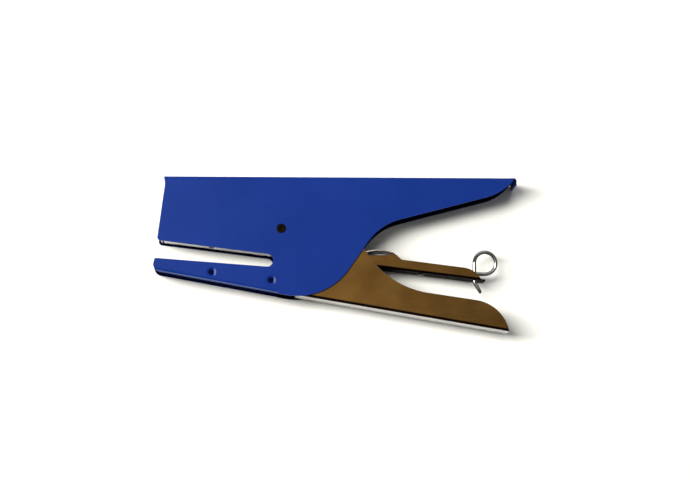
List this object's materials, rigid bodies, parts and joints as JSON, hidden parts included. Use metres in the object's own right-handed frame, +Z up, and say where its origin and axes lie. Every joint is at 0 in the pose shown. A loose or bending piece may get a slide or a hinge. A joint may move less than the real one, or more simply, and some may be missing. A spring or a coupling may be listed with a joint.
{
  "type": "plier stapler",
  "caption": "Hand-held all-metal plier stapler: a folded body with head, jaw and handle, a hinged staple magazine with a pull ring, and a squeeze lever that drives a blade.",
  "frame": {"origin": "middle of the footprint, on the surface that the stapler lies on", "axes": "+X along the spine from the jaw to the handle's tail, +Y from the lever towards the spine, +Z up through the thickness"},
  "size_m": [0.1598, 0.0678, 0.019],
  "materials": {
    "blue_paint": "smooth semi-gloss blue enamel",
    "bronze_nickel": "satin nickel plate with a warm bronze tone",
    "nickel": "bright nickel plate",
    "dark_steel": "plain steel, oiled",
    "pin_steel": "dark browned steel",
    "spring_steel": "spring steel",
    "staple_wire": "galvanised wire",
    "ring_wire": "nickel plated wire"
  },
  "bodies": {
    "body": {"body_shell": "blue_paint", "anvil_carrier": "dark_steel", "anvil_plate": "nickel", "anvil_rivets": "dark_steel", "pivot_pin": "pin_steel", "leaf_spring": "spring_steel", "leaf_rivet": "dark_steel"},
    "magazine": {"magazine_channel": "bronze_nickel", "nose_plate": "nickel", "nose_rivets": "dark_steel", "staple_rail": "nickel", "rail_rivets": "nickel", "staple_strip": "staple_wire", "pivot_sleeve": "dark_steel", "magazine_spacer": "dark_steel", "torsion_spring": "spring_steel"},
    "lever": {"lever": "bronze_nickel", "driver_pin": "dark_steel", "spring_pin": "dark_steel"},
    "driver": {"driver_blade": "spring_steel", "driver_block": "dark_steel", "driver_rivets": "nickel"},
    "rod": {"follower_rod": "ring_wire", "rod_stop": "ring_wire", "spring_seat": "ring_wire", "pusher_spring": "spring_steel"},
    "pusher": {"pusher": "dark_steel"}
  },
  "joints": [
    {"name": "magazine_close", "type": "hinge", "parent": "body", "child": "magazine", "pos_m": [-0.02392, 0.01091, 0.0095], "axis": [0, 0, 1], "range_deg": [0, 9.45], "stiffness_Nm_per_rad": 0.6, "springref_deg": -11.46, "deforming": ["leaf_spring"]},
    {"name": "lever_squeeze", "type": "hinge", "parent": "magazine", "child": "lever", "pos_m": [-0.02392, 0.01091, 0.0095], "axis": [0, 0, 1], "range_deg": [0, 6.35], "stiffness_Nm_per_rad": 0.6, "springref_deg": -11.46, "deforming": ["torsion_spring"]},
    {"name": "driver_slide", "type": "slide", "parent": "magazine", "child": "driver", "axis": [-0.1227, -0.9924, 0], "range_m": [0, 0.00536]},
    {"name": "rod_pull", "type": "slide", "parent": "magazine", "child": "rod", "axis": [0.9924, -0.1227, 0], "range_m": [0, 0.13]},
    {"name": "pusher_slide", "type": "slide", "parent": "rod", "child": "pusher", "axis": [0.9924, -0.1227, 0], "range_m": [0, 0.025], "stiffness_N_per_m": 30, "springref_m": -0.03, "deforming": ["pusher_spring"]}
  ],
  "couplings": [
    {"joint": "driver_slide", "follows": "lever_squeeze", "m_per_rad": 0.0479}
  ]
}
